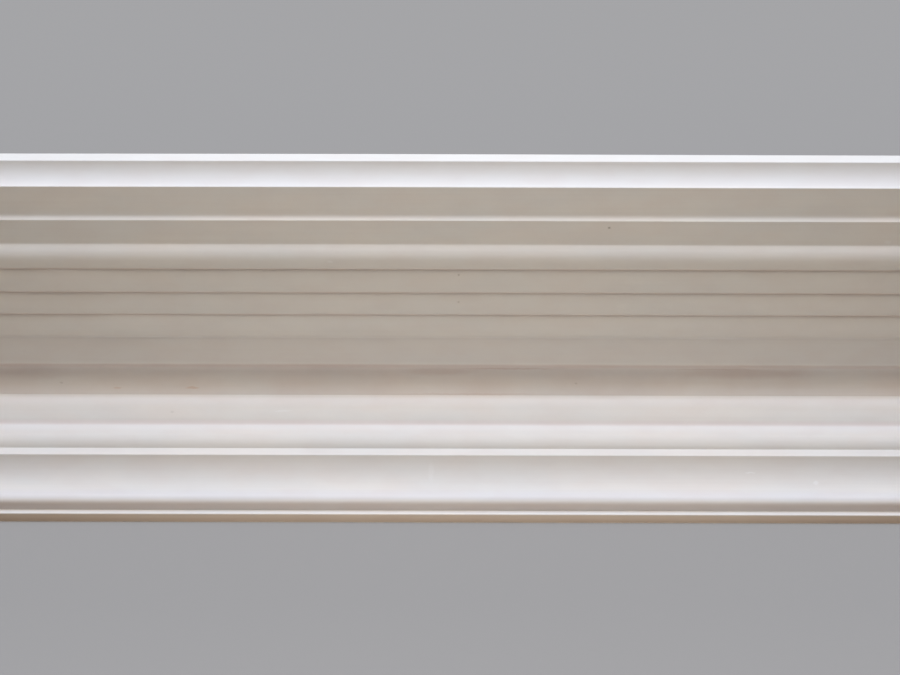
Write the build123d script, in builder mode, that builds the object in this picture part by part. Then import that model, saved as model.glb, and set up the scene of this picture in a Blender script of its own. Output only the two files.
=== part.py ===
"""Plain run plaster cornice, one cast length, lying on its wall face.

Millimetres, +Z up. X runs along the length, +Y points out of the ceiling face, and the wall face is on Z = 0.
The section is drawn as one chain of mouldings, from the ceiling edge to the wall edge. Each straight has a
tilt, and each curve turns from one tilt to another: 0 faces the room squarely, 90 faces straight down once
the cornice is up, and over 90 turns back to the wall.
"""

import os
from math import cos, radians, sin

from build123d import *

# Stock
stock_length = 2000.0

# Ceiling edge: a small fillet and the crown cove under it, flatter near the fillet
edge_fillet = 10.5
crown_cove_start_tilt = 74.0
crown_cove_root_radius = 21.0
crown_cove_root_tilt = 54.0
crown_cove_radius = 14.7
crown_cove_end_tilt = 2.0

# Two plain soffits with a small sloped step between them
soffit_tilt = 90.0
outer_soffit = 22.3
step_root_radius = 2.2
step_tilt = 24.0
soffit_step = 1.9
inner_soffit = 18.9
inner_soffit_tilt = 92.0

# Ovolo: a tight shoulder that eases into a flat underside
ovolo_root_radius = 1.2
ovolo_start_tilt = 34.0
ovolo_shoulder_radius = 11.1
ovolo_shoulder_tilt = 85.0
ovolo_underside_radius = 34.8
ovolo_underside_tilt = 98.0

# Three low cushioned fascias behind the ovolo, each stepped back by a riser
riser_tilt = 150.0
riser_depths = (2.4, 2.0, 1.9)
fascia_widths = (18.2, 17.2, 18.2)
fascia_start_tilt = 79.0
fascia_end_tilt = 93.0

# Plain soffit and the recess behind it: an undercut lip, then a long sweep out to the wall members
last_riser = 1.2
plain_soffit = 21.2
recess_lip_radius = 5.0
recess_lip_tilt = 132.0
recess_root_radius = 11.9
recess_root_tilt = 80.0
recess_sweep_radius = 21.1
recess_sweep_tilt = 44.0

# Two rounded members on the wall side
upper_round_crown_radius = 44.4
upper_round_crown_tilt = 20.0
upper_round_radius = 20.3
upper_round_end_tilt = 52.0
lower_round_crown_tilt = 2.0
lower_round_crown = 13.1
lower_round_radius = 8.8
lower_round_end_tilt = 78.0

# Fillet, wall cove and its rounded nose
wall_fillet_tilt = 6.0
wall_fillet = 7.5
wall_cove_start_tilt = 74.0
wall_cove_radius = 26.4
wall_cove_end_tilt = 3.0
nose_radius = 4.6
nose_end_tilt = 95.0

# Wall edge
nose_soffit = 4.5
edge_step_tilt = 4.0
edge_step = 4.4
wall_edge = 7.0

# Splay at the back corner, where wall and ceiling meet
splay_on_wall = 8.0
splay_on_ceiling = 30.0


def heading(tilt):
    return (-cos(radians(tilt)), -sin(radians(tilt)))


def straight(before, length, tilt):
    return PolarLine(before @ 1, length, direction=heading(tilt))


def curve(before, radius, start_tilt, end_tilt):
    return JernArc(before @ 1, heading(start_tilt), radius, end_tilt - start_tilt)


with BuildLine() as face:
    line = PolarLine((0, 0), edge_fillet, direction=heading(0))
    line = curve(line, crown_cove_root_radius, crown_cove_start_tilt, crown_cove_root_tilt)
    line = curve(line, crown_cove_radius, crown_cove_root_tilt, crown_cove_end_tilt)
    line = straight(line, outer_soffit, soffit_tilt)
    line = curve(line, step_root_radius, soffit_tilt, step_tilt)
    line = straight(line, soffit_step, step_tilt)
    line = straight(line, inner_soffit, inner_soffit_tilt)
    line = curve(line, ovolo_root_radius, inner_soffit_tilt, ovolo_start_tilt)
    line = curve(line, ovolo_shoulder_radius, ovolo_start_tilt, ovolo_shoulder_tilt)
    line = curve(line, ovolo_underside_radius, ovolo_shoulder_tilt, ovolo_underside_tilt)
    for depth, width in zip(riser_depths, fascia_widths):
        line = straight(line, depth, riser_tilt)
        fascia_radius = width / radians(fascia_end_tilt - fascia_start_tilt)
        line = curve(line, fascia_radius, fascia_start_tilt, fascia_end_tilt)
    line = straight(line, last_riser, riser_tilt)
    line = straight(line, plain_soffit, soffit_tilt)
    line = curve(line, recess_lip_radius, soffit_tilt, recess_lip_tilt)
    line = curve(line, recess_root_radius, recess_lip_tilt, recess_root_tilt)
    line = curve(line, recess_sweep_radius, recess_root_tilt, recess_sweep_tilt)
    line = curve(line, upper_round_crown_radius, 0, upper_round_crown_tilt)
    line = curve(line, upper_round_radius, upper_round_crown_tilt, upper_round_end_tilt)
    line = straight(line, lower_round_crown, lower_round_crown_tilt)
    line = curve(line, lower_round_radius, lower_round_crown_tilt, lower_round_end_tilt)
    line = straight(line, wall_fillet, wall_fillet_tilt)
    line = curve(line, wall_cove_radius, wall_cove_start_tilt, wall_cove_end_tilt)
    line = curve(line, nose_radius, wall_cove_end_tilt, nose_end_tilt)
    line = straight(line, nose_soffit, nose_end_tilt)
    line = straight(line, edge_step, edge_step_tilt)
    line = straight(line, wall_edge, soffit_tilt)

wall_toe = line @ 1
drop = -wall_toe.X
projection = -wall_toe.Y

with BuildPart() as cornice:
    with BuildSketch(Plane(origin=(0, drop / 2, projection), x_dir=(0, 1, 0), z_dir=(1, 0, 0))):
        with BuildLine():
            add(face.line)
            Polyline(wall_toe, (-splay_on_wall, -projection), (0, splay_on_ceiling - projection), (0, 0))
        make_face()
    extrude(amount=stock_length / 2, both=True)

cornice.part.label = "cornice"
os.makedirs("parts", exist_ok=True)
export_step(cornice.part, "parts/cornice.step")

centre = cornice.part.center(CenterOf.MASS)
print(f"drop {drop:.1f} mm, projection {projection:.1f} mm, volume {cornice.part.volume / 1e6:.2f} litres")
print(f"centre of mass {drop / 2 - centre.Y:.1f} mm from ceiling face, {centre.Z:.1f} mm above wall face")
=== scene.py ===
"""Looks of the plaster cornice: a dense mesh of its section, its plaster, a floor, lamps and a camera."""

import math

import bpy
import numpy as np
from mathutils import Matrix, Vector
from mathutils.geometry import delaunay_2d_cdt


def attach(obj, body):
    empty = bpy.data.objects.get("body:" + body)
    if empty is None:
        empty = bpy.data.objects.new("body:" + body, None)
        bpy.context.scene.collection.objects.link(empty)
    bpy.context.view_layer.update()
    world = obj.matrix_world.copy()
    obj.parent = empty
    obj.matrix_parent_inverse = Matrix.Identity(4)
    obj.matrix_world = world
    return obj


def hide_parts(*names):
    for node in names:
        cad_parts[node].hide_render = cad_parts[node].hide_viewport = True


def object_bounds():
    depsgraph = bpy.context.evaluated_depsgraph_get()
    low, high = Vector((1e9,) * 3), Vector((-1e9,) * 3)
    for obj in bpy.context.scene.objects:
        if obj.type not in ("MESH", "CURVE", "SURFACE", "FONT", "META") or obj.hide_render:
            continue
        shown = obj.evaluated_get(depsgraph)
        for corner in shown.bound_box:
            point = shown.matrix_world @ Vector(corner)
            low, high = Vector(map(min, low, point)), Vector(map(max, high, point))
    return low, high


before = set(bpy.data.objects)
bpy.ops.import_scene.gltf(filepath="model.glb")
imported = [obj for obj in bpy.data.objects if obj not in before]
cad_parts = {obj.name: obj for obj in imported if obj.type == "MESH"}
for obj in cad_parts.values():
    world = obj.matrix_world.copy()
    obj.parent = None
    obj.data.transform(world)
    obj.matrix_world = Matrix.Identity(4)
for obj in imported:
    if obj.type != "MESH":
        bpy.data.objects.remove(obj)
cad_low, cad_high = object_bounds()

MM_PER_M = 1000.0
LENGTH = (cad_high[0] - cad_low[0]) * MM_PER_M
HALF_LENGTH = LENGTH / 2
SEED = 7
draws = np.random.default_rng(SEED)

# Section in millimetres, from the ceiling edge to the wall edge, with a sharper recess lip than the solid.
# A straight has its tilt twice and its length, a curve has its first and last tilt and its radius.
# Tilt 0 faces the room squarely, 90 faces straight down once the cornice is up.
RISER_TILT = 150
FASCIA_TILTS = (79, 93)
FASCIA_TURN = math.radians(FASCIA_TILTS[1] - FASCIA_TILTS[0])
FACE = [
    ("edge_fillet", 0, 0, 10.5),
    ("crown_cove_root", 74, 54, 21.0),
    ("crown_cove", 54, 2, 14.7),
    ("outer_soffit", 90, 90, 22.3),
    ("step_root", 90, 24, 2.2),
    ("soffit_step", 24, 24, 1.9),
    ("inner_soffit", 92, 92, 18.9),
    ("ovolo_root", 92, 34, 1.2),
    ("ovolo_shoulder", 34, 85, 11.1),
    ("ovolo_underside", 85, 98, 34.8),
    ("riser_1", RISER_TILT, RISER_TILT, 2.4),
    ("fascia_1", *FASCIA_TILTS, 18.2 / FASCIA_TURN),
    ("riser_2", RISER_TILT, RISER_TILT, 2.0),
    ("fascia_2", *FASCIA_TILTS, 17.2 / FASCIA_TURN),
    ("riser_3", RISER_TILT, RISER_TILT, 1.9),
    ("fascia_3", *FASCIA_TILTS, 18.2 / FASCIA_TURN),
    ("riser_4", RISER_TILT, RISER_TILT, 1.2),
    ("plain_soffit", 90, 90, 22.54),
    ("recess_lip", 90, 132, 1.5),
    ("recess_slope", 132, 132, 1.34),
    ("recess_root", 132, 80, 11.9),
    ("recess_sweep", 80, 44, 21.1),
    ("upper_round_crown", 0, 20, 44.4),
    ("upper_round", 20, 52, 20.3),
    ("lower_round_crown", 2, 2, 13.1),
    ("lower_round", 2, 78, 8.8),
    ("wall_fillet", 6, 6, 7.5),
    ("wall_cove", 74, 3, 26.4),
    ("nose", 3, 95, 4.6),
    ("nose_soffit", 95, 95, 4.5),
    ("edge_step", 4, 4, 4.4),
    ("wall_edge", 90, 90, 7.0),
]
SPLAY_ON_WALL = 8.0
SPLAY_ON_CEILING = 30.0

# Spacing of the points around the section, and of the stations along the run
FACE_PITCH = 1.2
BACK_PITCH = 12.0
STATION_PITCH = 8.0

# Rounding of the cut ends, and of the arrises that bend by more degrees than the smooth bend
SMOOTH_BEND = 2
ARRIS_RADIUS = 0.5
ARRIS_POINTS = 5
ARRIS_BEND_MOST = 120
ARRIS_REACH_MOST = 0.9
ARRIS_SHARE_MOST = 0.45
END_ROUNDING = 0.25

# Quirks that are softer than an arris: the element that starts there and the reach of the softening
SOFT_QUIRKS = [("riser_4", 1.4), ("lower_round_crown", 2.2)]
SOFT_WINDOW = 3.0
SOFT_FADE = 1.6
SOFT_FADE_POWER = 4


def heading(tilt):
    """Unit step along the section, as (out from the ceiling face, down to the wall face)."""
    return np.array([math.cos(math.radians(tilt)), math.sin(math.radians(tilt))])


def element_points(first, last, size, start, pitch):
    """Points of a straight or curve as rows of (out, down, distance along), both ends included."""
    turn = math.radians(last - first)
    length = size if turn == 0 else size * abs(turn)
    steps = max(2, round(length / pitch))
    points = [np.array(start)]
    for i in range(steps):
        middle = first + (last - first) * (i + 0.5) / steps
        chord = length / steps if turn == 0 else 2 * size * math.sin(abs(turn) / steps / 2)
        step = heading(middle) * chord
        points.append(points[-1] + np.array([step[0], step[1], length / steps]))
    return np.array(points)


def round_corner(line, points, bend):
    """Points of a small curve that takes the place of the corner where points follow line."""
    corner = points[0]
    back = line[-2] - corner
    ahead = points[1] - corner
    half_bend = math.radians(min(bend, ARRIS_BEND_MOST)) / 2
    reach = min(ARRIS_RADIUS * math.tan(half_bend), ARRIS_REACH_MOST)
    start = corner + back * min(reach / np.linalg.norm(back[:2]), ARRIS_SHARE_MOST)
    end = corner + ahead * min(reach / np.linalg.norm(ahead[:2]), ARRIS_SHARE_MOST)
    shares = np.linspace(0, 1, ARRIS_POINTS)
    return [(1 - t) ** 2 * start + 2 * t * (1 - t) * corner + t * t * end for t in shares]


def soften(points, middle, reach):
    """Rounds the outline about one place along it, by a weighted mean that fades out away from there."""
    along = points[:, 2]
    spacing = np.abs(np.gradient(along))
    softened = points.copy()
    for i in np.flatnonzero(np.abs(along - middle) < SOFT_WINDOW * reach):
        weight = np.exp(-(((along - along[i]) / reach) ** 2)) * spacing
        mean = (points[:, :2] * weight[:, None]).sum(0) / weight.sum()
        share = math.exp(-(((along[i] - middle) / (SOFT_FADE * reach)) ** SOFT_FADE_POWER))
        softened[i, :2] += share * (mean - points[i, :2])
    return softened


# Where each element starts along the face line, and the overall sizes
starts = {}
foot = np.zeros(3)
for name, first, last, size in FACE:
    starts[name] = foot[2]
    foot = element_points(first, last, size, foot, FACE_PITCH)[-1]
DROP, PROJECTION, FACE_END = foot
starts["face_end"] = FACE_END

# Chain of the whole outline: ceiling face, moulded face, wall face and splay
BACK_NAMES = ("ceiling_face", "wall_face", "splay")
ceiling_height = PROJECTION - SPLAY_ON_CEILING
wall_depth = DROP - SPLAY_ON_WALL
splay_tilt = 180 + math.degrees(math.atan2(SPLAY_ON_CEILING, SPLAY_ON_WALL))
splay_width = math.hypot(SPLAY_ON_CEILING, SPLAY_ON_WALL)
chain = [
    ("ceiling_face", -90, -90, ceiling_height),
    *FACE,
    ("wall_face", 180, 180, wall_depth),
    ("splay", splay_tilt, splay_tilt, splay_width),
]

# Points of the outline, and the element that each belongs to
line = []
names = []
at = np.array([0, ceiling_height, -ceiling_height])
tilt_before = chain[0][1]
for name, first, last, size in chain:
    points = element_points(first, last, size, at, BACK_PITCH if name in BACK_NAMES else FACE_PITCH)
    bend = abs(first - tilt_before)
    if not line:
        fresh = list(points)
    elif bend > SMOOTH_BEND:
        fresh = round_corner(line, points, bend) + list(points[1:])
        line.pop()
        names.pop()
    else:
        fresh = list(points[1:])
    line += fresh
    names += [name] * len(fresh)
    at = points[-1]
    tilt_before = last
chain_end = at[2]
outline = np.array(line[:-1])
names = names[:-1]
outline_count = len(outline)
for name, reach in SOFT_QUIRKS:
    outline = soften(outline, starts[name], reach)

# Wander of the fascias, which makes their shadow lines fade and deepen, and sway of the whole face.
# For each fascia: the limits of its wander, then the middle, half length and amount of each swell (mm).
FASCIA_WAVE = 150.0
FASCIAS = [
    ((-0.2, 0.15), [(-268, 22, -0.9)]),
    ((-0.2, 0.2), []),
    ((-0.2, 0.2), [(-222, 38, -0.7), (420, 60, -0.7)]),
]
FACE_WAVE = 320.0
FACE_SWAY = (-0.3, 0.3)


def wander(stations, pitch, low, high):
    """A smooth random value along the length, from knots that reach past both ends."""
    knots = np.arange(stations[0] - 2 * pitch, stations[-1] + 3 * pitch, pitch)
    values = draws.uniform(low, high, len(knots))
    where = (stations - knots[0]) / pitch
    i = np.floor(where).astype(int)
    t = where - i
    t = t * t * (3 - 2 * t)
    return values[i] * (1 - t) + values[i + 1] * t


def swell(stations, middle, half_length, amount):
    """A smooth local change along the length."""
    return amount * np.exp(-(((stations - middle) / half_length) ** 2))


even_stations = np.linspace(-HALF_LENGTH, HALF_LENGTH, round(LENGTH / STATION_PITCH) + 1)
left_stations = [-HALF_LENGTH, END_ROUNDING - HALF_LENGTH]
right_stations = [HALF_LENGTH - END_ROUNDING, HALF_LENGTH]
stations = np.concatenate([left_stations, even_stations[1:-1], right_stations])
fascia_shifts = []
for limits, swells in FASCIAS:
    shift = wander(stations, FASCIA_WAVE, *limits)
    for middle, half_length, amount in swells:
        shift = shift + swell(stations, middle, half_length, amount)
    fascia_shifts.append(shift)
sway_out = wander(stations, FACE_WAVE, *FACE_SWAY)
sway_down = wander(stations, FACE_WAVE, *FACE_SWAY)

# Places of the mesh in millimetres, station by station around the outline
set_back_at = [starts[f"{part}_{number}"] for number in (1, 2, 3) for part in ("riser", "fascia")]
set_back_at += [starts["riser_4"], starts["plain_soffit"]]
tangent = np.roll(outline[:, :2], -1, 0) - np.roll(outline[:, :2], 1, 0)
tangent /= np.linalg.norm(tangent, axis=1)[:, None]
inward = np.stack([-tangent[:, 1], tangent[:, 0]], 1)
height_share = 1 - outline[:, 1] / PROJECTION
ends = (0, len(stations) - 1)
places = np.zeros((len(stations), outline_count, 3))
for k, x in enumerate(stations):
    shifts = np.repeat([shift[k] for shift in fascia_shifts], 2)
    set_back = np.interp(outline[:, 2], set_back_at, [0, *shifts, 0])
    section = outline[:, :2] + set_back[:, None] * heading(RISER_TILT)
    section = section + height_share[:, None] * np.array([sway_out[k], sway_down[k]])
    if k in ends:
        section = section + inward * END_ROUNDING
    places[k, :, 0] = x
    places[k, :, 1] = DROP / 2 - section[:, 0]
    places[k, :, 2] = PROJECTION - section[:, 1]
places[:, :, 2] = np.maximum(places[:, :, 2], 0)
all_places = places.reshape(-1, 3)

# Faces of the mesh: quads from station to station, and triangles on the cut ends
FACE_SLOT, BACK_SLOT, END_SLOT = 0, 1, 2
INSIDE_ONLY = 1
CUT_TOLERANCE = 1e-6
faces = []
slots = []
for k in range(len(stations) - 1):
    here = k * outline_count
    there = here + outline_count
    for i in range(outline_count):
        j = (i + 1) % outline_count
        faces.append((here + i, here + j, there + j, there + i))
        slots.append(BACK_SLOT if names[i] in BACK_NAMES else FACE_SLOT)
for k in ends:
    flat = [Vector(place) for place in places[k, :, 1:]]
    rim = list(range(outline_count))
    _, _, triangles, sources, _, _ = delaunay_2d_cdt(flat, [], [rim], INSIDE_ONLY, CUT_TOLERANCE)
    for triangle in triangles:
        corners = [k * outline_count + sources[corner][0] for corner in triangle]
        faces.append(tuple(corners if k else corners[::-1]))
        slots.append(END_SLOT)

mesh = bpy.data.meshes.new("cornice_run")
mesh.from_pydata((all_places / MM_PER_M).tolist(), [], faces)
mesh.polygons.foreach_set("material_index", slots)
mesh.polygons.foreach_set("use_smooth", [slot == FACE_SLOT for slot in slots])
loop_vertex = np.zeros(len(mesh.loops), dtype=np.int32)
mesh.loops.foreach_get("vertex_index", loop_vertex)

# Map that the plaster reads, in metres: along the run, and along the face line
RUN_MAP = "run"
run_map = np.stack([all_places[:, 0], np.tile(outline[:, 2], len(stations))], 1) / MM_PER_M

# Map without overlaps for a baked texture: strips for the face and the back, and the ends side by side
BAKE_MAP = "OFBake"
MAP_EDGE = 0.005
FACE_STRIP = (0.005, 0.70)
BACK_STRIP = (0.715, 0.875)
END_STRIP = (0.89, 0.995)
STRIP_GAP = 4.0


def between(limits, share):
    """Value that share of the way from the first limit to the second."""
    return limits[0] + share * (limits[1] - limits[0])


def strip_height(slot, distance):
    """Height on the map of a place that far along the outline."""
    if slot == FACE_SLOT:
        return between(FACE_STRIP, (distance + STRIP_GAP) / (FACE_END + 2 * STRIP_GAP))
    on_wall_side = distance > FACE_END / 2
    unrolled = distance + ceiling_height + (STRIP_GAP - FACE_END if on_wall_side else 0)
    return between(BACK_STRIP, unrolled / (chain_end - FACE_END + ceiling_height + STRIP_GAP))


side_starts = outline[:, 2]
side_ends = np.append(outline[1:, 2], chain_end)
lows = np.array([strip_height(slots[i], side_starts[i]) for i in range(outline_count)])
highs = np.array([strip_height(slots[i], side_ends[i]) for i in range(outline_count)])
across_map = between((MAP_EDGE, 1 - MAP_EDGE), stations / LENGTH + 0.5)
sides_map = np.zeros((len(stations) - 1, outline_count, 4, 2))
sides_map[:, :, :2, 0] = across_map[:-1, None, None]
sides_map[:, :, 2:, 0] = across_map[1:, None, None]
sides_map[:, :, (0, 3), 1] = lows[None, :, None]
sides_map[:, :, (1, 2), 1] = highs[None, :, None]
sides_map = sides_map.reshape(-1, 2)

cap_places = all_places[loop_vertex[len(sides_map):]]
on_right_end = cap_places[:, 0] > 0
cap_map = np.zeros((len(cap_places), 2))
cap_map[:, 0] = between((MAP_EDGE, 0.5 - MAP_EDGE), cap_places[:, 2] / PROJECTION) + 0.5 * on_right_end
cap_map[:, 1] = between(END_STRIP, cap_places[:, 1] / DROP + 0.5)
bake_map = np.concatenate([sides_map, cap_map])

mesh.uv_layers.new(name=BAKE_MAP).data.foreach_set("uv", bake_map.ravel())
mesh.uv_layers.new(name=RUN_MAP).data.foreach_set("uv", run_map[loop_vertex].ravel())
mesh.update()
run = bpy.data.objects.new("cornice_run", mesh)
bpy.context.scene.collection.objects.link(run)


# Sockets of the Mix node for colours, by number because other kinds of value share their names
MIX_SHARE, MIX_FROM, MIX_TO = 0, 6, 7
MIX_RESULT = 2


class Graph:
    """A material's node tree, with short ways to add nodes."""

    def __init__(self, name, specular):
        self.material = bpy.data.materials.new(name)
        self.material.use_nodes = True
        self.tree = self.material.node_tree
        self.shader = self.tree.nodes["Principled BSDF"]
        self.shader.inputs["Specular IOR Level"].default_value = specular

    def set(self, socket, value):
        """Links the value if it is a node's output, and otherwise writes it on the socket."""
        if isinstance(value, bpy.types.NodeSocket):
            self.tree.links.new(value, socket)
        else:
            socket.default_value = value

    def add(self, kind, inputs, **settings):
        node = self.tree.nodes.new("ShaderNode" + kind)
        for key, value in settings.items():
            setattr(node, key, value)
        for key, value in inputs.items():
            self.set(node.inputs[key], value)
        return node

    def maths(self, operation, a, b=0.0):
        return self.add("Math", {0: a, 1: b}, operation=operation).outputs[0]

    def times(self, a, b):
        return self.maths("MULTIPLY", a, b)

    def vector_maths(self, operation, a, b):
        return self.add("VectorMath", {0: a, 1: b}, operation=operation).outputs["Vector"]

    def scaled(self, vector, scale):
        return self.add("VectorMath", {0: vector, "Scale": scale}, operation="SCALE").outputs["Vector"]

    def length(self, vector):
        return self.add("VectorMath", {0: vector}, operation="LENGTH").outputs["Value"]

    def mapped(self, vector, scale, location=(0, 0, 0), rotation=(0, 0, 0)):
        inputs = {"Vector": vector, "Scale": scale, "Location": location, "Rotation": rotation}
        return self.add("Mapping", inputs).outputs[0]

    def noise(self, vector, scale, detail, output="Fac"):
        return self.add("TexNoise", {"Vector": vector, "Scale": scale, "Detail": detail}).outputs[output]

    def ramp(self, value, low, high, to_low=0.0, to_high=1.0):
        """Eases from to_low to to_high as the value goes from low to high."""
        inputs = {"Value": value, "From Min": low, "From Max": high, "To Min": to_low, "To Max": to_high}
        return self.add("MapRange", inputs, interpolation_type="SMOOTHSTEP").outputs[0]

    def band(self, value, rise, full, fall, end):
        """1 between full and fall, easing to 0 at rise and end."""
        return self.times(self.ramp(value, rise, full), self.ramp(value, end, fall))

    def mix(self, share, a, b, way="MIX"):
        inputs = {MIX_SHARE: share, MIX_FROM: a, MIX_TO: b}
        return self.add("Mix", inputs, data_type="RGBA", blend_type=way).outputs[MIX_RESULT]

    def pinholes(self, place, scale, rim, core):
        """1 inside small round air holes, easing to 0 at their rims."""
        gap = self.add("TexVoronoi", {"Vector": place, "Scale": scale}).outputs["Distance"]
        return self.ramp(gap, rim, core)

    def dress(self, colour, roughness, height):
        """Gives the shader its colour, roughness and bump, with the height in millimetres."""
        bump = self.add("Bump", {"Height": height, "Distance": 1 / MM_PER_M, "Strength": 1.0})
        self.set(self.shader.inputs["Base Color"], colour)
        self.set(self.shader.inputs["Roughness"], roughness)
        self.set(self.shader.inputs["Normal"], bump.outputs[0])
        return self.material


# Plaster colours, on the face, the back and the ends
PLASTER_SPECULAR = 0.25
WARM_PLASTER = (0.825, 0.797, 0.756, 1)
COOL_PLASTER = (0.795, 0.786, 0.762, 1)
STREAK_PLASTER = (0.74, 0.72, 0.685, 1)
MOTTLE_SHADE = (0.944, 0.886, 0.872, 1)
# Painted warm shade for the quirks under the risers
QUIRK_WARM_SHADE = (0.90, 0.78, 0.73, 1)
# Dust and painted shade for the recess, and the share of painted shade under its lip
RECESS_DUST_AND_SHADE = (0.63, 0.506, 0.453, 1)
LIP_SHADE_SHARE = 0.34
BACK_PALE = (0.78, 0.765, 0.735, 1)
BACK_DARK = (0.72, 0.70, 0.665, 1)
BACK_FLOATED = (0.82, 0.81, 0.79, 1)
END_DARK = (0.80, 0.785, 0.755, 1)
END_PALE = (0.86, 0.85, 0.83, 1)
BACK_HOLE_SHARE = 0.6
END_HOLE_SHARE = 0.7
BACK_ROUGHNESS = 0.95
END_ROUGHNESS = 0.97

# Depths of the plaster's relief (mm)
GRAIN_DEPTH = 0.012
STREAK_DEPTH = 0.03
PIT_DEPTH = 0.5
FLOAT_DEPTH = 0.5
LUMP_DEPTH = 0.4
SAW_DEPTH = 0.25
HOLE_DEPTH = 0.6


def past(element, offset=0.0):
    """Place on the face line that far past the start of an element, in millimetres."""
    return starts[element] + offset


def riser_quirk_shade(number):
    """Painted warm shade in the quirk under a riser."""
    riser = f"riser_{number}"
    fascia = f"fascia_{number}"
    return (past(riser, -0.6), past(riser, 0.3), past(fascia, 0.4), past(fascia, 2.6), 0.4, QUIRK_WARM_SHADE)


# Painted light and shade on the members: where each rises, is full, falls and ends (mm), then its share
# and colour
LIGHT_AND_SHADE_TINTS = [
    # Painted shade on the edge fillet
    (past("edge_fillet", -1.0), past("edge_fillet"),
     past("crown_cove_root", -0.4), past("crown_cove_root"), 0.8, (0.745, 0.735, 0.70, 1)),
    # Painted shade on the root of the crown cove, fading into the outer soffit
    (past("crown_cove_root", -0.4), past("crown_cove_root"),
     past("crown_cove", 4.2), past("outer_soffit", 4.8), 0.9, (0.765, 0.755, 0.735, 1)),
    # Painted shade on the fascias
    (past("ovolo_underside", -2.0), past("ovolo_underside", 3.0),
     past("riser_4", -1.0), past("riser_4", 1.0), 0.4, (0.735, 0.705, 0.66, 1)),
    # Painted warm shade in the quirks under the risers
    riser_quirk_shade(1),
    riser_quirk_shade(2),
    riser_quirk_shade(3),
    # Painted shade on the plain soffit
    (past("riser_4", -1.5), past("riser_4", 3.0),
     past("recess_lip", -3.4), past("recess_lip"), 0.5, (0.70, 0.665, 0.635, 1)),
    # Painted highlight on the crown of the upper round
    (past("upper_round_crown"), past("upper_round_crown", 5.0),
     past("upper_round_crown", 6.1), past("upper_round", -0.4), 0.9, (0.91, 0.898, 0.893, 1)),
    # Painted highlight on the crown of the lower round
    (past("lower_round_crown", -1.0), past("lower_round_crown", 2.0),
     past("lower_round_crown", 3.2), past("lower_round", 0.1), 0.65, (0.89, 0.885, 0.89, 1)),
    # Painted warm shade in the quirk above the lower round
    (past("lower_round_crown", -4.0), past("lower_round_crown", -1.0),
     past("lower_round_crown", 0.5), past("lower_round_crown", 2.5), 0.5, (0.77, 0.69, 0.675, 1)),
    # Painted shade on the root of the wall cove
    (past("wall_cove", -0.5), past("wall_cove", 0.5),
     past("wall_cove", 7.0), past("nose", -7.8), 0.4, (0.69, 0.67, 0.65, 1)),
    # Painted bluish shade that tones down the highlight where the wall cove meets the nose
    (past("nose", -9.0), past("nose", -2.0),
     past("nose", 2.0), past("nose", 4.0), 0.4, (0.70, 0.70, 0.735, 1)),
    # Painted shade under the nose
    (past("nose", 3.0), past("nose", 7.0),
     past("edge_step", -0.5), past("edge_step"), 1.0, (0.685, 0.637, 0.62, 1)),
    # Brown along the wall edge, deeper toward its far edge: painted warm bounce light and shade
    (past("wall_edge", -0.3), past("wall_edge", 1.2),
     past("face_end", 9.0), past("face_end", 10.0), 0.62, (0.50, 0.38, 0.29, 1)),
    (past("wall_edge", 1.5), past("wall_edge", 6.0),
     past("face_end", 9.0), past("face_end", 10.0), 0.35, (0.40, 0.30, 0.23, 1)),
]

# Dust and painted shade in the recess, painted shade under its lip: where each rises, is full, falls and
# ends (mm)
RECESS_BAND = (past("recess_lip", -1.6), past("recess_lip", -0.4),
               past("upper_round_crown", -0.6), past("upper_round_crown"))
LIP_SHADE_BAND = (past("recess_lip", -0.8), past("recess_lip", 0.6),
            past("recess_lip", 2.5), past("recess_lip", 6.0))

# Marks on the face: kind, place along the run and the face line, half length and height (mm), strength
MARK_COLOURS = {
    # The pit colour is painted shade, in the pits of the face and the air holes of the back and ends
    "pit": (0.30, 0.26, 0.22, 1),
    "rust": (0.60, 0.38, 0.25, 1),
    "stain": (0.55, 0.40, 0.34, 1),
    "chalk": (0.93, 0.93, 0.93, 1),
}
MARKS = [
    ("pit", 111, 63.4, 1.1, 1.0, 0.6),
    ("pit", -275, 197.7, 1.5, 0.9, 0.2),
    ("pit", -196, 224.1, 1.5, 1.2, 0.15),
    ("pit", 6, 102.6, 0.9, 0.9, 0.3),
    ("pit", 6, 125.6, 0.9, 0.9, 0.25),
    ("pit", 89, 197.4, 1.2, 0.9, 0.2),
    ("rust", -182, 201.0, 5.5, 1.1, 0.4),
    ("rust", -235, 201.2, 4.0, 0.9, 0.28),
    ("stain", -7, 187.5, 30, 4.5, 0.25),
    ("stain", 42, 184.8, 40, 1.2, 0.4),
    ("stain", 183, 185.2, 36, 1.0, 0.25),
    ("stain", 208, 189.0, 60, 5.0, 0.22),
    ("stain", -289, 189.5, 40, 6.0, 0.16),
    ("stain", 14, 205.0, 60, 0.9, 0.2),
    ("chalk", -84, 90.2, 2.5, 1.2, 0.3),
    ("chalk", -275, 99.5, 12, 1.2, 0.25),
    ("chalk", 306, 74.5, 3.0, 1.8, 0.3),
    ("chalk", -13, 277.0, 2.5, 9, 0.15),
    ("chalk", 257, 284.6, 2.2, 2.2, 0.4),
    ("chalk", 211, 277.0, 4, 0.8, 0.4),
    ("chalk", -118, 223.0, 8, 0.8, 0.3),
]

# A mark fades from its core to its rim, as shares of its half size, and the jitter (m) makes it ragged
MARK_CORE = 0.35
MARK_RIM = 1.15
MARK_JITTER = 0.0022
NOISE_MIDDLE = (0.5, 0.5, 0.5)


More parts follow.
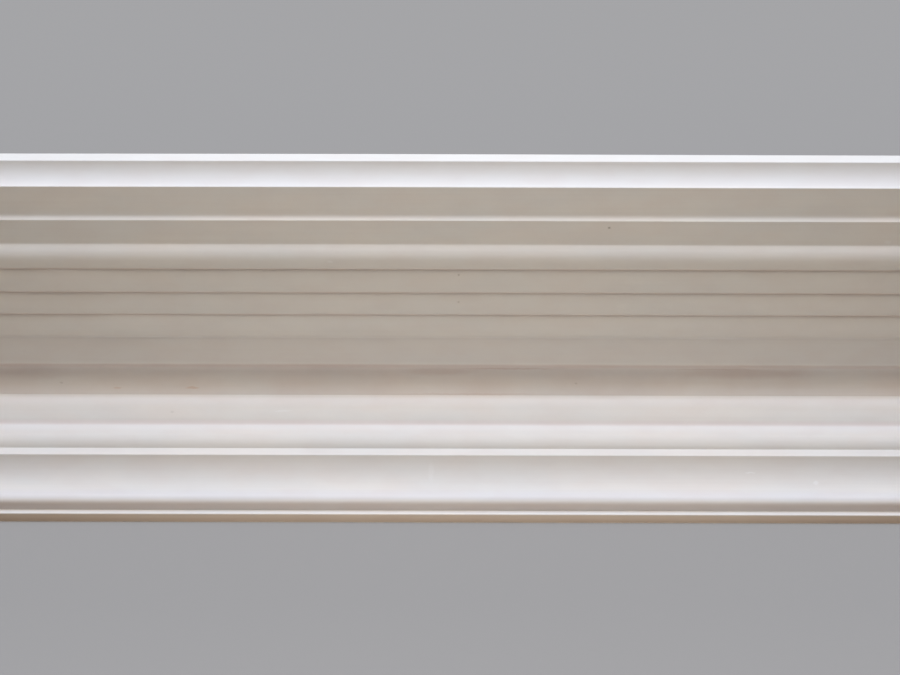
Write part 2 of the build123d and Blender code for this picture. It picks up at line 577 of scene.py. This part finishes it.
def dusted_and_shaded(graph, run_uv, across_mm, colour):
    """Colour with patchy dust and painted shade in the recess, and more painted shade under the lip."""
    patches = graph.noise(run_uv, scale=14.0, detail=4.0)
    patchy = graph.ramp(patches, low=0.3, high=0.7, to_low=0.15, to_high=0.4)
    in_recess = graph.band(across_mm, *RECESS_BAND)
    colour = graph.mix(graph.times(in_recess, patchy), colour, RECESS_DUST_AND_SHADE)
    under_lip = graph.band(across_mm, *LIP_SHADE_BAND)
    return graph.mix(graph.times(under_lip, LIP_SHADE_SHARE), colour, RECESS_DUST_AND_SHADE)


def marked(graph, run_uv, colour, height):
    """Colour with the marks, ragged apart from the pits that are darkened with painted shade, and height
    with the pits sunk into it.
    """
    ragged = graph.noise(run_uv, scale=220.0, detail=2.0, output="Color")
    ragged = graph.scaled(graph.vector_maths("SUBTRACT", ragged, NOISE_MIDDLE), MARK_JITTER)
    ragged_uv = graph.vector_maths("ADD", run_uv, ragged)
    for what, along, across, half_length, half_height, strength in MARKS:
        scale = (MM_PER_M / half_length, MM_PER_M / half_height, 1)
        location = (-along / half_length, -across / half_height, 0)
        from_middle = graph.length(graph.mapped(run_uv if what == "pit" else ragged_uv, scale, location))
        share = graph.ramp(from_middle, MARK_RIM, MARK_CORE, to_high=strength)
        colour = graph.mix(share, colour, MARK_COLOURS[what])
        if what == "pit":
            height = graph.maths("SUBTRACT", height, graph.times(share, PIT_DEPTH))
    return colour, height


def plaster_face():
    """Smooth cast plaster with soft blotches, faint run lines, painted light and shade on the members,
    dust and painted shade in the recess, and a few marks.
    """
    graph = Graph("plaster_face", PLASTER_SPECULAR)
    run_uv = graph.add("UVMap", {}, uv_map=RUN_MAP).outputs[0]
    across_mm = graph.times(graph.add("SeparateXYZ", {0: run_uv}).outputs[1], MM_PER_M)
    blotch = graph.noise(graph.mapped(run_uv, scale=(1, 3, 1)), scale=9.0, detail=4.0)
    streak = graph.noise(graph.mapped(run_uv, scale=(4, 420, 1)), scale=1.0, detail=3.0)
    mottle = graph.noise(graph.mapped(run_uv, scale=(1, 2, 1)), scale=32.0, detail=6.0)
    grain = graph.noise(run_uv, scale=1400.0, detail=2.0)

    colour = graph.mix(graph.ramp(blotch, low=0.35, high=0.65), WARM_PLASTER, COOL_PLASTER)
    colour = graph.mix(graph.ramp(streak, low=0.45, high=0.8, to_high=0.22), colour, STREAK_PLASTER)
    # Painted light and shade on the members
    for rise, full, fall, end, share, tint in LIGHT_AND_SHADE_TINTS:
        in_band = graph.band(across_mm, rise, full, fall, end)
        colour = graph.mix(graph.times(in_band, share), colour, tint)
    mottled = graph.ramp(mottle, low=0.35, high=0.7, to_high=0.3)
    colour = graph.mix(mottled, colour, MOTTLE_SHADE, way="MULTIPLY")
    # Dust and painted shade in the recess, and painted shade under the lip
    colour = dusted_and_shaded(graph, run_uv, across_mm, colour)

    height = graph.maths("ADD", graph.times(grain, GRAIN_DEPTH), graph.times(streak, STREAK_DEPTH))
    colour, height = marked(graph, run_uv, colour, height)
    roughness = graph.ramp(blotch, low=0.3, high=0.7, to_low=0.8, to_high=0.95)
    return graph.dress(colour, roughness, height)


def plaster_back():
    """Struck-off back faces: float marks along the run, pinholes darkened with painted shade, and uneven
    drying.
    """
    graph = Graph("plaster_back", PLASTER_SPECULAR)
    place = graph.add("TexCoord", {}).outputs["Object"]
    floated = graph.noise(graph.mapped(place, scale=(4, 90, 90)), scale=1.0, detail=4.0)
    lumps = graph.noise(place, scale=45.0, detail=6.0)
    drying = graph.noise(place, scale=5.0, detail=5.0)
    holes = graph.pinholes(place, scale=90.0, rim=0.13, core=0.07)

    colour = graph.mix(graph.ramp(drying, low=0.35, high=0.65), BACK_PALE, BACK_DARK)
    colour = graph.mix(graph.ramp(floated, low=0.4, high=0.75, to_high=0.4), colour, BACK_FLOATED)
    # Painted shade in the pinholes
    colour = graph.mix(graph.times(holes, BACK_HOLE_SHARE), colour, MARK_COLOURS["pit"])
    height = graph.maths("ADD", graph.times(floated, FLOAT_DEPTH), graph.times(lumps, LUMP_DEPTH))
    height = graph.maths("SUBTRACT", height, graph.times(holes, HOLE_DEPTH))
    return graph.dress(colour, BACK_ROUGHNESS, height)


def plaster_end():
    """Sawn ends: close saw lines across the section and a few opened air holes darkened with painted
    shade.
    """
    graph = Graph("plaster_end", PLASTER_SPECULAR)
    place = graph.add("TexCoord", {}).outputs["Object"]
    saw_lines = graph.mapped(place, scale=(1, 25, 900), rotation=(0.12, 0, 0))
    sawn = graph.noise(saw_lines, scale=1.0, detail=3.0)
    holes = graph.pinholes(place, scale=130.0, rim=0.12, core=0.05)

    colour = graph.mix(graph.ramp(sawn, low=0.3, high=0.7), END_DARK, END_PALE)
    # Painted shade in the air holes
    colour = graph.mix(graph.times(holes, END_HOLE_SHARE), colour, MARK_COLOURS["pit"])
    height = graph.maths("SUBTRACT", graph.times(sawn, SAW_DEPTH), graph.times(holes, HOLE_DEPTH))
    return graph.dress(colour, END_ROUGHNESS, height)


for material in (plaster_face(), plaster_back(), plaster_end()):
    mesh.materials.append(material)
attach(run, "root")
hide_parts("cornice")

# Background, and the floor in metres: its grey rises away from the lamps, so that it renders evenly.
# Near the piece half of the grey is lit and takes the shadow, and far off all of it is even.
BACKDROP = (0.371, 0.371, 0.381, 1)
FLOOR_SIZE = 160.0
FLOOR_COLOUR = (0.36, 0.35, 0.34)
FLOOR_ROUGHNESS = 0.9
FLOOR_LEVEL = 0.943
FLOOR_LIFT_X = 0.296
FLOOR_LIFT_Y = 0.685
FLOOR_SLOPE_Y = -0.25
FLOOR_LIFT_MOST = 1.6
EVEN_FROM = 0.25
EVEN_TO = 1.0
EVEN_SHARE = (0.5, 1.0)

# Pale sheet on the floor in front of the piece, which lights it from below and fades toward both sides.
# The rear and front banks and the rim light have the same middle along the run.
LIGHT_MIDDLE = 0.02
SHEET_COLOUR = (0.95, 0.85, 0.70, 1)
SHEET_EDGE_COLOUR = (0.45, 0.36, 0.265, 1)
SHEET_FADE = (0.08, 0.47)
SHEET_BACK = (0.06, -0.06)


def shows_background(tree):
    """1 for the rays that show the background: from the camera, mirrored, or through something clear."""
    path = tree.nodes.new("ShaderNodeLightPath")
    seen = path.outputs["Is Camera Ray"]
    for ray in ("Is Glossy Ray", "Is Transmission Ray"):
        either = tree.nodes.new("ShaderNodeMath")
        either.operation = "MAXIMUM"
        tree.links.new(seen, either.inputs[0])
        tree.links.new(path.outputs[ray], either.inputs[1])
        seen = either.outputs[0]
    return seen


def floor_material():
    """Pale warm sheet to the piece, plain grey to the camera, and even grey far off."""
    graph = Graph("floor", specular=0.0)
    seen = shows_background(graph.tree)
    axes = graph.add("SeparateXYZ", {0: graph.add("TexCoord", {}).outputs["Object"]})
    x, y = axes.outputs[0], axes.outputs[1]

    sideways = graph.maths("ABSOLUTE", graph.maths("SUBTRACT", x, LIGHT_MIDDLE))
    on_sheet = graph.ramp(sideways, *SHEET_FADE, to_low=1.0, to_high=0.0)
    on_sheet = graph.times(on_sheet, graph.ramp(y, *SHEET_BACK))
    bounce = graph.mix(on_sheet, SHEET_EDGE_COLOUR, SHEET_COLOUR)

    lift_x = graph.times(graph.times(x, x), FLOOR_LIFT_X)
    lift_y = graph.times(graph.maths("ADD", graph.times(y, FLOOR_LIFT_Y), FLOOR_SLOPE_Y), y)
    lift = graph.maths("ADD", graph.maths("ADD", lift_x, lift_y), FLOOR_LEVEL)
    shown = graph.scaled(FLOOR_COLOUR, graph.maths("MINIMUM", lift, FLOOR_LIFT_MOST))
    graph.set(graph.shader.inputs["Base Color"], graph.mix(seen, bounce, shown))
    graph.set(graph.shader.inputs["Roughness"], FLOOR_ROUGHNESS)

    past_end = graph.maths("SUBTRACT", graph.maths("ABSOLUTE", x), HALF_LENGTH / MM_PER_M)
    past_end = graph.maths("MAXIMUM", past_end, 0.0)
    from_piece = graph.length(graph.add("CombineXYZ", {0: past_end, 1: y}).outputs[0])
    even_share = graph.ramp(from_piece, EVEN_FROM, EVEN_TO, *EVEN_SHARE)
    even = graph.add("Emission", {"Color": BACKDROP, "Strength": 1.0}).outputs[0]
    mixed = graph.add("MixShader", {0: graph.times(even_share, seen), 1: graph.shader.outputs[0], 2: even})
    graph.set(graph.tree.nodes["Material Output"].inputs["Surface"], mixed.outputs[0])
    return graph.material


bpy.ops.mesh.primitive_plane_add(size=FLOOR_SIZE)
floor = bpy.context.object
floor.name = "floor"
floor.data.materials.append(floor_material())

# World: the background where it shows, and a faint light of the same colour
WORLD_LIGHT = 0.08
world = bpy.data.worlds.new("studio")
world.use_nodes = True
sky = world.node_tree.nodes["Background"]
sky.inputs["Color"].default_value = BACKDROP
sky_level = world.node_tree.nodes.new("ShaderNodeMapRange")
sky_level.inputs["To Min"].default_value = WORLD_LIGHT
world.node_tree.links.new(shows_background(world.node_tree), sky_level.inputs["Value"])
world.node_tree.links.new(sky_level.outputs[0], sky.inputs["Strength"])
bpy.context.scene.world = world

# Lamps in metres, watts and degrees: overhead banks, cool behind and warm in front, a rim and end lamps
LAMP_REACH = 1.8
LAMP_ARC = 30
LAMP_DEPTH = 2 * LAMP_REACH * math.tan(math.radians(LAMP_ARC / 2))
LAMP_HEIGHT = 0.1
FRONT_LEAN = 22.5
END_LAMP_AWAY = 1.2
END_LAMP_RISE = 0.35
COOL_LIGHT = (0.707, 0.80, 1.0)
WARM_LIGHT = (1.0, 0.912, 0.81)
RIM_LIGHT = (1.0, 1.0, 1.0)
END_LIGHT = (1.0, 0.97, 0.94)


def soft_box(name, location, toward, width, spread, power, colour):
    """A soft box that shines along toward and that the camera doesn't see."""
    data = bpy.data.lights.new(name, "AREA")
    data.shape = "RECTANGLE"
    data.size = width
    data.size_y = LAMP_DEPTH
    data.spread = math.radians(spread)
    data.energy = power
    data.color = colour
    lamp = bpy.data.objects.new(name, data)
    lamp.location = location
    lamp.rotation_euler = toward.to_track_quat("-Z", "Y").to_euler()
    lamp.visible_camera = False
    bpy.context.scene.collection.objects.link(lamp)


def overhead(name, x, lean, **settings):
    """A soft box over the run at x: lean is its angle from straight above, positive toward the room."""
    up = Vector((0, -math.sin(math.radians(lean)), math.cos(math.radians(lean))))
    soft_box(name, Vector((x, 0, LAMP_HEIGHT)) + up * LAMP_REACH, -up, **settings)


overhead("rear_bank", LIGHT_MIDDLE, lean=-7.5, width=1.6, spread=180, power=26.7, colour=COOL_LIGHT)
overhead("front_bank", LIGHT_MIDDLE, FRONT_LEAN, width=0.5, spread=90, power=3.95, colour=WARM_LIGHT)
overhead("rim", LIGHT_MIDDLE, lean=-55.0, width=1.6, spread=180, power=10.0, colour=RIM_LIGHT)
for side in (-1, 1):
    end = Vector((side * HALF_LENGTH / MM_PER_M, 0, LAMP_HEIGHT))
    away = Vector((side * END_LAMP_AWAY, 0, END_LAMP_RISE))
    overhead(f"side_bank_{side}", end.x, FRONT_LEAN, width=0.4, spread=36, power=0.5, colour=WARM_LIGHT)
    soft_box(f"end_lamp_{side}", end + away, -away, width=0.6, spread=120, power=2.5, colour=END_LIGHT)

# Camera, square to the face as in the photograph, with the size of a pixel at the place that it aims at.
# The aim is given in millimetres out from the ceiling face and down from the ceiling edge.
PICTURE_WIDTH = 900
PIXEL = 0.000704
DISTANCE = 5.0
ELEVATION = math.radians(30)
ROLL = math.radians(0.14)
AIM_OUT = 33.0
AIM_DOWN = 128.9
SENSOR_WIDTH = 36.0
CLIP_END = 100.0
aim = Vector((0, DROP / 2 - AIM_OUT, PROJECTION - AIM_DOWN)) / MM_PER_M
toward = Vector((0, math.cos(ELEVATION), -math.sin(ELEVATION)))
turn = toward.to_track_quat("-Z", "Y").to_matrix() @ Matrix.Rotation(ROLL, 3, "Z")
camera_data = bpy.data.cameras.new("camera")
camera_data.sensor_width = SENSOR_WIDTH
camera_data.lens = SENSOR_WIDTH * DISTANCE / (PICTURE_WIDTH * PIXEL)
camera_data.clip_end = CLIP_END
camera = bpy.data.objects.new("camera", camera_data)
camera.location = aim - toward * DISTANCE
camera.rotation_euler = turn.to_euler()
bpy.context.scene.collection.objects.link(camera)
bpy.context.scene.camera = camera
bpy.context.scene.view_settings.view_transform = "Standard"
